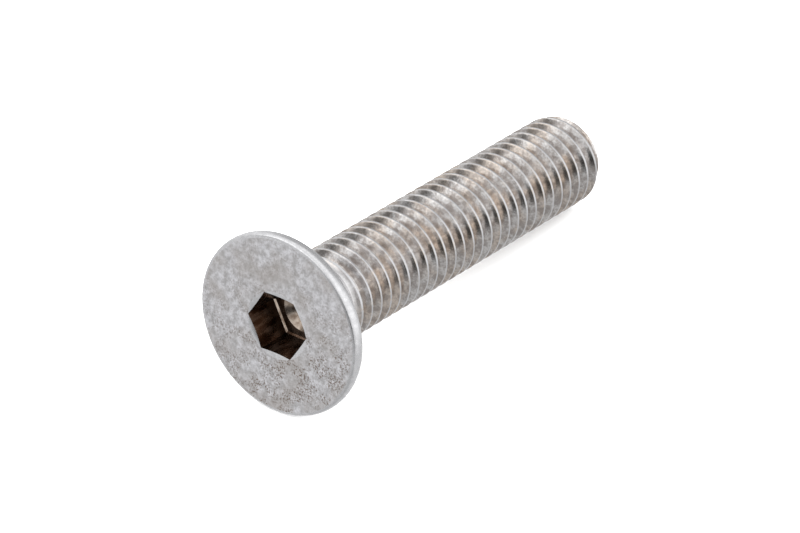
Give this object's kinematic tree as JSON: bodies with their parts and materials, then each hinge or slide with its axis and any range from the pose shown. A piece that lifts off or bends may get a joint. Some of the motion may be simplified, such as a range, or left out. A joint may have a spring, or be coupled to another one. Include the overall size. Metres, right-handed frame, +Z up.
{
  "type": "countersunk socket screw",
  "caption": "Countersunk machine screw with a flat top, a hexagon socket and a fully threaded shank with a rounded point, lying on its side.",
  "frame": {"origin": "on the surface that the screw lies on, below the middle of its box", "axes": "+Y runs along the screw from the head to the tip, which points down by 5.8 degrees; +Z is up; the hexagon socket has corners towards +X and -X"},
  "size_m": [0.0154, 0.0406, 0.0155],
  "materials": {
    "stainless_steel": "dull cold-formed stainless steel, lightly stained"
  },
  "bodies": {
    "root": {"socket_screw": "stainless_steel"}
  },
  "joints": []
}
